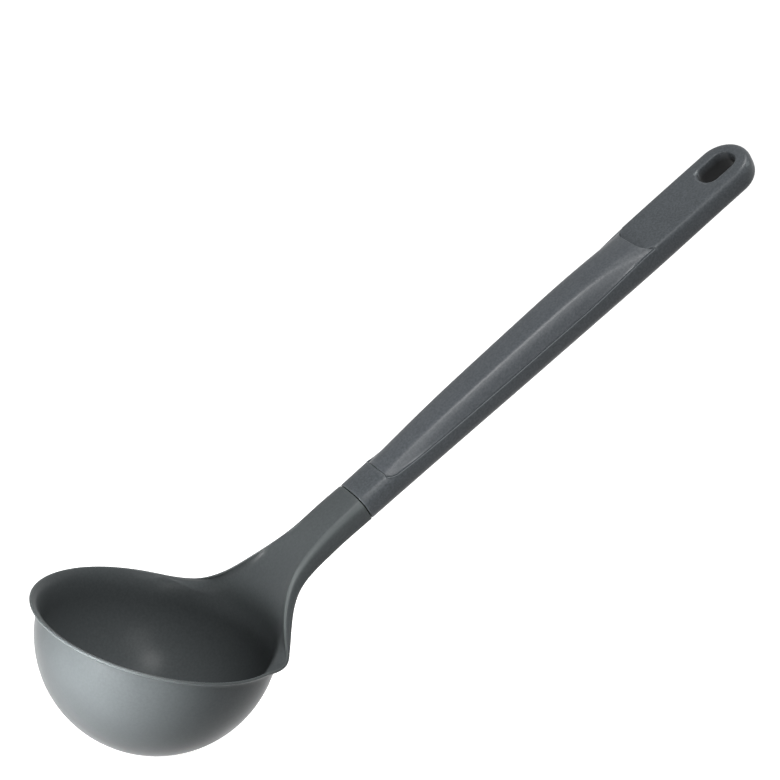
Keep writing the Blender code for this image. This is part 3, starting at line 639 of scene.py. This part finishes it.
def blend_root(bm, rows):
    """Runs the wall up into the stem inside and outside, and leaves the flared lip at both
    sides of the root as it is."""
    row_layer = bm.verts.layers.int["row"]
    side_layer = bm.verts.layers.float["side"]
    share_layer = bm.verts.layers.float["share"]
    lip_top, lip_bottom = lip_rows(rows)
    columns = {}
    for vertex in bm.verts:
        row, side, share = vertex[row_layer], vertex[side_layer], vertex[share_layer]
        inside = row <= lip_top
        on_wall = inside or row >= lip_bottom
        near = vertex.co.z > BLEND_LOW and share <= BLEND_SHARE
        if abs(side) < 1 - CLOSE and on_wall and near:
            order = row if inside else -row
            columns.setdefault((round(side, 3), inside), []).append(
                (order, share, vertex.index, vertex))
    for (side, _), column in columns.items():
        weight = 1 - smooth_step((abs(side) - BLEND_SIDE) / (1 - BLEND_SIDE))
        blend_column([entry[-1] for entry in sorted(column)], weight)


def make_head(material):
    """Bowl, lip, stem and tang in one moulding."""
    bm = bmesh.new()
    rows = bowl_profile()
    spin_bowl(bm, rows)
    ring = open_stem_root(bm, rows)
    ring = grow_stem(bm, ring)
    ring = ease_seam(bm, ring)
    grow_tang(bm, ring)
    foot = [e for e in bm.edges if e.is_boundary]
    bmesh.ops.contextual_create(bm, geom=foot)
    bm.verts.index_update()
    blend_root(bm, rows)
    bmesh.ops.translate(bm, vec=(0, 0, BOWL_CENTRE), verts=bm.verts)
    bmesh.ops.scale(bm, vec=(MM, MM, MM), verts=bm.verts)
    return mesh_object("head_moulding", bm, material)


# Handle body

SECTIONS = Spline([s[0] * END_CENTRE for s in HANDLE_SECTIONS],
                  [s[1:] for s in HANDLE_SECTIONS])
INLAY_SHAPE = Spline([INLAY_START + (INLAY_END - INLAY_START) * s[0] for s in INLAY_SECTIONS],
                     [s[1:] for s in INLAY_SECTIONS])
HANDLE_PLACE = Matrix.LocRotScale(
    Vector((NECK_REACH, 0, BOWL_CENTRE + NECK_LIFT)) * MM,
    Matrix.Rotation(-HANDLE_RISE, 3, "Y").to_quaternion(), (MM, MM, MM))


def skirt_height(along):
    """Lower edge of the inlay's side, which sweeps up round the tongue at its lower end and
    runs into the pad's shoulder at the other."""
    beyond = along - INLAY_START - TONGUE_LENGTH
    fall = SKIRT_FALL * math.exp(-max(beyond, 0) / SKIRT_FALL_LENGTH)
    rise = END_SWEEP * smooth_step(1 - (INLAY_END - along) / END_SWEEP_LENGTH)
    return INLAY_SKIRT + fall + rise + TONGUE_SWEEP * (max(-beyond, 0) / TONGUE_LENGTH) ** 2


def bow(across):
    """Shape of the line between inlay and pad, bowed towards the bowl in the middle."""
    return BEND * (min(abs(across) / BEND_HALF_WIDTH, 1) ** 4 - 1)


def bend_share(along):
    """How far the rings follow that line, on both sides of it."""
    if along < INLAY_END:
        return smooth_step(1 - (INLAY_END - along) / BEND_RUN_IN)
    return smooth_step(1 - (along - INLAY_END) / BEND_RUN_OUT)


def skin_point(along, angle, flat, grow=0.0):
    """Across and up position on the body's skin, flattened to the end pad where flat."""
    half_width, above, below, top_power, low_power = SECTIONS(along)
    upper = math.sin(angle) >= 0
    exponent = 2 / (top_power if upper else low_power)
    across = (half_width + grow) * power(math.cos(angle), exponent)
    up = ((above if upper else below) + grow) * power(math.sin(angle), exponent)
    run_in = max(0.0, (BACK_START - along) / BACK_RUN_IN)
    up = max(up, -BACK_HEIGHT - BACK_RUN_IN_DROP * run_in ** 1.5)
    over = up - PAD_HEIGHT
    if flat and over > -PAD_EASE:
        up = PAD_HEIGHT - max(0.0, PAD_EASE - over) ** 2 / (4 * PAD_EASE)
    return across, up


def level_angle(height, above, exponent):
    """Angle at which a section's skin passes a height."""
    return math.asin(min(STEEPEST, height / above) ** (exponent / 2))


def half_ring(along, seat, flat, ease, grow):
    """Half of the body's ring from the bottom line to the top line. In the seat it turns in
    over a rounded ledge and follows the seat's floor."""
    half_width, above, _, top_power, _ = SECTIONS(along)
    low = skirt_height(max(along, INLAY_START)) - INLAY_GAP
    start = level_angle(low - LEDGE_EASE, above, top_power)
    points = [skin_point(along, a, flat, grow)
              for a in spread(-math.pi / 2, start, SKIN_POINTS)]
    if not seat:
        rest = spread(start, math.pi / 2, LEDGE_POINTS + FLOOR_POINTS + 1)[1:]
        rest = [skin_point(along, a, flat, grow) for a in rest]
        return points + [(across, up - ease) for across, up in rest]
    edge = points[-1][0] - LEDGE_EASE
    for turn in spread(0, math.pi / 2, LEDGE_POINTS + 1)[1:]:
        points.append((edge + LEDGE_EASE * math.cos(turn),
                       low - LEDGE_EASE + LEDGE_EASE * math.sin(turn)))
    depth = INLAY_DEPTH + INLAY_GAP
    inner = level_angle(low, above - depth, top_power)
    for angle in spread(inner, math.pi / 2, FLOOR_POINTS):
        points.append(((half_width - depth) * power(math.cos(angle), 2 / top_power),
                       (above - depth) * power(math.sin(angle), 2 / top_power)))
    return points


def body_ring(along, seat=False, flat=False, ease=0.0, grow=0.0):
    """Whole ring of the body. Each point is slid along the skin to follow the pad's line."""
    share = bend_share(along)
    half = []
    for number, (across, up) in enumerate(half_ring(along, seat, flat, ease, grow)):
        shift = share * bow(across)
        if shift:
            across, up = half_ring(along + shift, seat, flat, ease, grow)[number]
        half.append((along + shift, across, up))
    mirrored = [(x, -across, up) for x, across, up in half[-2:0:-1]]
    return half + mirrored


def socket_ring(along, count):
    """Ring of the tang's socket with as many points as the body's rings."""
    half = count // 2
    ring = []
    for number in range(count):
        step = min(number, count - number)
        across, up = tang_section(-math.pi / 2 + math.pi * step / half, GAP,
                                  tang_taper(max(along, 0)))
        ring.append((along, across if number <= half else -across, up))
    return ring


def loft(sections):
    """Solid through sections with equal point counts, from a flat face. Returns the mesh and
    its last cap."""
    bm = bmesh.new()
    point = bm.verts.layers.int.new("point")
    count = len(sections[0])
    base = bmesh.ops.create_circle(bm, segments=count, radius=1, cap_ends=True)["verts"]
    for number, vertex in enumerate(base):
        vertex[point] = number
        vertex.co = sections[0][number]
    return bm, extrude_through(bm, list(bm.faces), sections[1:])


def seam_rings():
    """Rings over the body's rounded edge at the seam."""
    rings = []
    for turn in (0, *EASE_TURNS):
        angle = math.radians(turn)
        rings.append(body_ring(GAP / 2 + EDGE_EASE * (1 - math.cos(angle)),
                               grow=-EDGE_EASE * (1 - math.sin(angle))))
    return rings


def front_ring(along, towards, turn, flat=False):
    """Ring on the rounded edge of the body at an end of the seat. The skin lies towards +1
    or -1 of it along the handle."""
    angle = math.radians(turn)
    return body_ring(along + towards * FRONT_EASE * (1 - math.sin(angle)), flat=flat,
                     ease=FRONT_EASE * (1 - math.cos(angle)))


def body_rings():
    """Rings from the bottom of the socket out to the seam, up the skin, down into the seat
    and out of it again to the pad and the middle of the round end."""
    seam = seam_rings()
    count = len(seam[0])
    rings = [socket_ring(TANG_LENGTH + SOCKET_SPARE, count), socket_ring(GAP / 2, count)] + seam
    start = INLAY_START - INLAY_GAP
    rings += [body_ring(x) for x in spread(FIRST_RING, start - FRONT_EASE, COLLAR_RINGS)]
    rings += [front_ring(start, -1, turn) for turn in SEAT_TURNS]
    places = [start + x for x in spread(0, TONGUE_LENGTH, TONGUE_RINGS)
              + spread(TONGUE_LENGTH + TONGUE_STEP, CLOSE_END, CLOSE_RINGS)]
    places += spread(places[-1] + SEAT_STEP, INLAY_END - BEND_RUN_IN, SEAT_RINGS)
    pad = INLAY_END + INLAY_GAP
    places += spread(INLAY_END - BEND_RUN_IN, pad, BEND_RINGS)[1:]
    rings += [body_ring(x, seat=True) for x in places]
    rings += [front_ring(pad, 1, turn, flat=True) for turn in (*SEAT_TURNS[::-1], 0)]
    rings += [body_ring(x, flat=True) for x in spread(pad + PAD_STEP, END_CENTRE, PAD_RINGS)]
    return rings


def handle_shell():
    """Body with its round end, which is turned from half of the last ring."""
    bm, cap = loft(body_rings())
    last = list(cap[0].verts)
    bmesh.ops.delete(bm, geom=cap, context="FACES_ONLY")
    half = [v for v in last if v.co.y > -CLOSE]
    arc = [e for e in bm.edges if e.is_boundary and all(v in half for v in e.verts)]
    bmesh.ops.spin(bm, geom=half + arc, cent=(END_CENTRE, 0, 0), axis=(0, 0, 1),
                   dvec=(0, 0, 0), angle=-math.pi, steps=END_STEPS)
    bmesh.ops.remove_doubles(bm, verts=bm.verts, dist=MERGE)
    bmesh.ops.dissolve_degenerate(bm, edges=bm.edges, dist=CLOSE)
    return bm


def slot_ring(height, grow):
    """Rounded rectangle of the hanging slot at one height."""
    points = []
    corner = SLOT_CORNER + grow
    half_length = SLOT_LENGTH / 2 + grow - corner
    half_width = SLOT_WIDTH / 2 + grow - corner
    for turn, (sx, sy) in enumerate(((1, 1), (-1, 1), (-1, -1), (1, -1))):
        for step in spread(0, 1, CORNER_POINTS):
            angle = math.pi / 2 * (turn + step)
            points.append((SLOT_CENTRE + sx * half_length + corner * math.cos(angle),
                           sy * half_width + corner * math.sin(angle), height))
    return points


def slot_cutter():
    """Cutter of the slot, which flares out in a rounded edge at both faces."""
    edge = []
    for turn in spread(0, SLOT_EDGE_TURN, SLOT_EDGE_POINTS):
        angle = math.radians(turn)
        edge.append((SLOT_EDGE * math.sin(angle), SLOT_EDGE * (1 - math.cos(angle))))
    above = [(PAD_HEIGHT - SLOT_EDGE + up, grow) for up, grow in edge]
    above.append((above[-1][0] + CUTTER_SPARE, above[-1][1] + CUTTER_SPARE))
    below = [(-BACK_HEIGHT + SLOT_EDGE - up, grow) for up, grow in edge[::-1]]
    below.insert(0, (below[0][0] - CUTTER_SPARE, below[0][1] + CUTTER_SPARE))
    bm, _ = loft([slot_ring(height, grow) for height, grow in below + above])
    bmesh.ops.transform(bm, matrix=HANDLE_PLACE, verts=bm.verts)
    return mesh_object("slot_cutter", bm)


def mark_painted_slot_shade(mesh):
    """Marks the slot's straight wall by its depth, for the material to paint shade on it that
    darkens with depth.
    """
    bore_shade = mesh.attributes.new("bore_shade", "FLOAT", "POINT")
    back = HANDLE_PLACE.inverted()
    for vertex, mark in zip(mesh.vertices, bore_shade.data):
        along, across, up = back @ vertex.co
        within = (abs(along - SLOT_CENTRE) < SLOT_LENGTH / 2 + BORE_MARGIN
                  and abs(across) < SLOT_WIDTH / 2 + BORE_MARGIN)
        wall = within and BORE_INSET - BACK_HEIGHT < up < PAD_HEIGHT - BORE_INSET
        mark.value = max(0.0, PAD_HEIGHT - SLOT_EDGE - up) / BORE_FADE if wall else 0.0


def make_handle_body(material):
    """Body with the slot cut through its end pad."""
    bm = handle_shell()
    bmesh.ops.transform(bm, matrix=HANDLE_PLACE, verts=bm.verts)
    body = mesh_object("handle_moulding", bm, material)
    cutter = slot_cutter()
    cut = body.modifiers.new("slot", "BOOLEAN")
    cut.operation = "DIFFERENCE"
    cut.solver = "EXACT"
    cut.object = cutter
    shaped = body.evaluated_get(bpy.context.evaluated_depsgraph_get())
    mesh = bpy.data.meshes.new_from_object(shaped)
    body.modifiers.clear()
    body.data = mesh
    mark_painted_slot_shade(mesh)
    shade(mesh)
    bpy.data.objects.remove(cutter, do_unlink=True)
    return body


# Grip inlay

def roof_height(across, edge, low, top, ridge):
    """Height of a nearly level top and a straight flank, which meet in a soft ridge."""
    crest = top - TOP_DROP * (across / ridge) ** 2
    flank = low + (top - TOP_DROP - low) * (edge - across) / (edge - ridge)
    soft = math.exp(-crest / RIDGE_ROUND) + math.exp(-flank / RIDGE_ROUND)
    return -RIDGE_ROUND * math.log(soft)


def inlay_section(along, ease):
    """Section between the inlay's ridged skin and the seat's floor. The lower corners of
    its sides are rounded."""
    half_width, above, _, exponent, _ = SECTIONS(along)
    rise, ridge = INLAY_SHAPE(along)
    low = skirt_height(along)
    edge = half_width * power(math.cos(level_angle(low, above, exponent)), 2 / exponent)
    edge -= INLAY_SET_BACK + ease
    top = above + rise - ease
    slope = (top - TOP_DROP - low) / (edge - ridge)
    corner = []
    for turn in spread(0, math.pi / 2, EDGE_POINTS):
        inset = INLAY_EDGE_RADIUS * (1 - math.sin(turn))
        lift = INLAY_EDGE_RADIUS * (1 - math.cos(turn))
        corner.append((edge - inset - lift / slope, low + lift))
    start = corner[-1][0]
    crown = [(across, roof_height(abs(across), edge, low, top, ridge))
             for across in spread(start, -start, CROWN_POINTS)[1:-1]]
    over = corner + crown + [(-across, up) for across, up in corner[::-1]]
    inner = half_width - INLAY_DEPTH, above - INLAY_DEPTH
    back = level_angle(low, inner[1], exponent)
    under = [(inner[0] * power(math.cos(a), 2 / exponent),
              inner[1] * power(math.sin(a), 2 / exponent))
             for a in spread(math.pi - back, back, len(over))]
    share = bend_share(along)
    return [(along + share * bow(across), across, up) for across, up in over + under]


def inlay_places():
    """Place of each section along the handle, and how far it lies inside the inlay's skin
    at the rounded ends."""
    radius = INLAY_END_RADIUS
    ease = [(radius * (1 - math.cos(turn)), radius * (1 - math.sin(turn)))
            for turn in spread(0, math.pi / 2, EDGE_POINTS)[:-1]]
    at_tongue, past_tongue, in_middle, at_bend = INLAY_RINGS
    tongue = INLAY_START + TONGUE_LENGTH
    bend = INLAY_END - BEND_RUN_IN
    places = spread(INLAY_START + radius, tongue, at_tongue)
    places += spread(tongue + TONGUE_STEP, INLAY_START + INLAY_CLOSE_END, past_tongue)
    places += spread(places[-1] + INLAY_STEP, bend, in_middle)
    places += spread(bend, INLAY_END - radius, at_bend)[1:]
    return ([(INLAY_START + run, inset) for run, inset in ease] + [(x, 0) for x in places]
            + [(INLAY_END - run, inset) for run, inset in ease[::-1]])


def make_grip_inlay(material):
    """Inlay lofted from a strip of faces across its section."""
    sections = [inlay_section(along, ease) for along, ease in inlay_places()]
    bm = bmesh.new()
    point = bm.verts.layers.int.new("point")
    base = [bm.verts.new(place) for place in sections[0]]
    for number, vertex in enumerate(base):
        vertex[point] = number
    cap = [bm.faces.new((base[i], base[i + 1], base[-2 - i], base[-1 - i]))
           for i in range(len(base) // 2 - 1)]
    extrude_through(bm, cap, sections[1:])
    bmesh.ops.transform(bm, matrix=HANDLE_PLACE, verts=bm.verts)
    return mesh_object("grip_pad", bm, material)


# Materials

def linear(hex_colour):
    """Linear colour from an sRGB hex value."""
    channels = [int(hex_colour[i:i + 2], 16) / 255 for i in (1, 3, 5)]
    return [c / 12.92 if c <= 0.04045 else ((c + 0.055) / 1.055) ** 2.4 for c in channels] + [1]


def add(tree, kind, inputs=None, **settings):
    """Adds a node with its settings. Each input gets a value or the socket it is fed by."""
    node = tree.nodes.new(kind)
    for name, value in settings.items():
        setattr(node, name, value)
    for name, value in (inputs or {}).items():
        if isinstance(value, bpy.types.NodeSocket):
            tree.links.new(value, node.inputs[name])
        else:
            node.inputs[name].default_value = value
    return node


def moulded_finish(name, colours, grain_size, grain_depth, specular):
    """Moulded polymer: slight flow clouds in its colour and gloss, a grain from the mould in
    its colour and relief, and lighter edges, partly worn by handling and partly a painted
    highlight on the ridges. The colours are the darker and the lighter one of the mottle, and
    that of the edges."""
    material = bpy.data.materials.new(name)
    material.use_nodes = True
    tree = material.node_tree
    shader = tree.nodes["Principled BSDF"]
    place = add(tree, "ShaderNodeTexCoord").outputs["Object"]
    clouds = add(tree, "ShaderNodeTexNoise", {"Vector": place, "Scale": 1 / (CLOUD_SIZE * MM),
                                              "Detail": 3.0, "Roughness": 0.55})
    grain = add(tree, "ShaderNodeTexNoise", {"Vector": place, "Scale": 1 / (grain_size * MM),
                                             "Detail": 2.0, "Roughness": 0.6})
    # Lighter edges: partly worn by handling, partly a painted highlight on the ridges
    wear_and_highlight = add(tree, "ShaderNodeMapRange", {
        "Value": add(tree, "ShaderNodeNewGeometry").outputs["Pointiness"],
        "From Min": EDGE_WEAR_AND_HIGHLIGHT_RANGE[0], "From Max": EDGE_WEAR_AND_HIGHLIGHT_RANGE[1]})
    speck = add(tree, "ShaderNodeMapRange", {
        "Value": grain.outputs["Fac"], "From Min": SPECK_RANGE[0], "From Max": SPECK_RANGE[1]})
    mottle = add(tree, "ShaderNodeMix", {0: CLOUD_SHARE, 2: speck.outputs["Result"],
                                         3: clouds.outputs["Fac"]})
    base = add(tree, "ShaderNodeMix", {0: mottle.outputs[0], 6: linear(colours[0]),
                                       7: linear(colours[1])}, data_type="RGBA")
    worn_and_highlit = add(tree, "ShaderNodeMix", {0: wear_and_highlight.outputs["Result"], 6: base.outputs[2],
                                         7: linear(colours[2])}, data_type="RGBA")
    # Painted shade on the slot's straight wall, darker the deeper it lies
    bore_shade = add(tree, "ShaderNodeAttribute", attribute_name="bore_shade")
    colour = add(tree, "ShaderNodeMix", {0: bore_shade.outputs["Fac"], 6: worn_and_highlit.outputs[2],
                                         7: linear(BORE_PAINTED_SHADE)}, data_type="RGBA")
    tree.links.new(colour.outputs[2], shader.inputs["Base Color"])
    gloss = add(tree, "ShaderNodeMapRange", {
        "Value": clouds.outputs["Fac"], "From Min": CLOUD_RANGE[0], "From Max": CLOUD_RANGE[1],
        "To Min": SHEEN_RANGE[0], "To Max": SHEEN_RANGE[1]})
    tree.links.new(gloss.outputs["Result"], shader.inputs["Roughness"])
    relief = add(tree, "ShaderNodeBump", {"Height": grain.outputs["Fac"], "Strength": RELIEF,
                                          "Distance": grain_depth * MM})
    tree.links.new(relief.outputs["Normal"], shader.inputs["Normal"])
    shader.inputs["Specular IOR Level"].default_value = specular
    shader.inputs["IOR"].default_value = 1.5
    return material


# Studio

def area_light(name, azimuth, elevation, distance, size, watts, target):
    """Soft box at an azimuth and an elevation, in degrees, and a distance from its target."""
    lamp = bpy.data.lights.new(name, "AREA")
    lamp.shape = "RECTANGLE"
    lamp.size, lamp.size_y = size
    lamp.energy = watts
    item = bpy.data.objects.new(name, lamp)
    around, up = math.radians(azimuth), math.radians(elevation)
    level = math.cos(up)
    away = Vector((math.cos(around) * level, math.sin(around) * level, math.sin(up)))
    item.location = Vector(target) + away * distance
    item.rotation_euler = away.to_track_quat("Z", "Y").to_euler()
    item.visible_camera = False
    bpy.context.collection.objects.link(item)


def make_camera():
    """Long lens at the photograph's view."""
    lens = bpy.data.cameras.new("camera")
    lens.sensor_width = 36
    lens.lens = CAMERA_LENS
    lens.clip_end = 50
    camera = bpy.data.objects.new("camera", lens)
    camera.location = CAMERA_PLACE
    camera.rotation_euler = [math.radians(angle) for angle in CAMERA_TURN]
    bpy.context.collection.objects.link(camera)
    bpy.context.scene.camera = camera


def seen_ray(tree):
    """1 for the rays that see the background: camera, glossy and transmission rays."""
    path = add(tree, "ShaderNodeLightPath")
    either = add(tree, "ShaderNodeMath", {0: path.outputs["Is Camera Ray"],
                                          1: path.outputs["Is Glossy Ray"]},
                 operation="MAXIMUM")
    return add(tree, "ShaderNodeMath", {0: either.outputs[0],
                                        1: path.outputs["Is Transmission Ray"]},
               operation="MAXIMUM").outputs[0]


def make_floor():
    """Pale matt floor. Its paint is a light grey, so that little light bounces up from it. For
    the rays that see it, it glows to plain white, and the ladle's shadow doesn't show."""
    bm = bmesh.new()
    bmesh.ops.create_grid(bm, x_segments=1, y_segments=1, size=FLOOR_HALF_SIZE)
    floor = mesh_object("floor", bm)
    material = bpy.data.materials.new("pale_floor_paint")
    material.use_nodes = True
    tree = material.node_tree
    tree.nodes.clear()
    matt = add(tree, "ShaderNodeBsdfDiffuse", {"Color": linear("#b4b4b4")})
    glow = add(tree, "ShaderNodeEmission", {"Color": (1, 1, 1, 1), "Strength": 1.0})
    both = add(tree, "ShaderNodeAddShader", {0: matt.outputs[0], 1: glow.outputs[0]})
    chosen = add(tree, "ShaderNodeMixShader", {0: seen_ray(tree), 1: matt.outputs[0],
                                               2: both.outputs[0]})
    add(tree, "ShaderNodeOutputMaterial", {"Surface": chosen.outputs[0]})
    floor.data.materials.append(material)


def make_world():
    """Dim surroundings that are white for the rays that see them."""
    world = bpy.data.worlds.new("studio")
    world.use_nodes = True
    tree = world.node_tree
    tree.nodes.clear()
    dim = add(tree, "ShaderNodeBackground", {"Color": (1, 1, 1, 1), "Strength": DIM_LIGHT})
    white = add(tree, "ShaderNodeBackground", {"Color": (1, 1, 1, 1), "Strength": 1.0})
    chosen = add(tree, "ShaderNodeMixShader", {0: seen_ray(tree), 1: dim.outputs[0],
                                               2: white.outputs[0]})
    add(tree, "ShaderNodeOutputWorld", {"Surface": chosen.outputs[0]})
    bpy.context.scene.world = world


# Glass-filled nylon from a honed mould: near-black charcoal, slightly green, with a soft sheen
# that fades round the bowl. The faint grain only breaks up the sheen.
head_nylon = moulded_finish("glass_filled_nylon_satin_moulded",
                            ("#323536", "#383b3c", "#454949"),
                            grain_size=0.8, grain_depth=0.02, specular=0.06)
# The same nylon from a spark-eroded mould: a dry, finely speckled surface, slightly bluer than
# the head. The real grain is about 0.1 mm, and is drawn coarser so that it shows at all.
handle_nylon = moulded_finish("glass_filled_nylon_spark_textured",
                              ("#2d3032", "#3c3f42", "#484c4e"),
                              grain_size=0.7, grain_depth=0.09, specular=0.1)
# Soft-touch elastomer moulded over the handle: the same colour and grain, with more sheen, so
# that its ridge and flank catch the light. Its grain too is drawn coarser than it is.
grip_rubber = moulded_finish("thermoplastic_elastomer_soft_touch",
                             ("#2d3033", "#3c3f42", "#484c4e"),
                             grain_size=0.7, grain_depth=0.08, specular=0.18)

for piece, node, slot in ((make_head(head_nylon), "ladle_head", "head_plastic"),
                          (make_handle_body(handle_nylon), "handle_body", "handle_plastic"),
                          (make_grip_inlay(grip_rubber), "grip_inlay", "grip_rubber")):
    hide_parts(node)
    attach(piece, "root")

make_floor()
make_world()
make_camera()

# Lamps, by azimuth, elevation, distance, size, watts and target. They are above a plain level,
# because the gloss of the mouldings is kept low against the white surroundings. Three large
# boxes light the whole ladle from above and from the camera's side.
area_light("top_softbox", 0, 85, 1.0, (0.4, 0.4), 11.5, MIDDLE)
area_light("key_softbox", 230, 51, 1.0, (0.3, 0.3), 7.1, MIDDLE)
area_light("front_softbox", 252, 33, 1.0, (0.4, 0.4), 3.2, MIDDLE)
# Two low strips give the bowl its broad sheen, and two small ones stand in for reflectors
# that lighten its left edge.
area_light("low_softbox", 225, 2.5, 0.8, (0.16, 0.05), 1.9, BOWL_SIDE)
area_light("rim_softbox", 180, 2.5, 0.8, (0.16, 0.05), 0.7, BOWL_SIDE)
area_light("left_reflector", 190, 0, 0.2, (0.08, 0.014), 0.5, BOWL_FOOT)
area_light("near_reflector", 205, 0, 0.09, (0.035, 0.014), 0.21, BOWL_FOOT)

bpy.context.scene.view_settings.view_transform = "Standard"
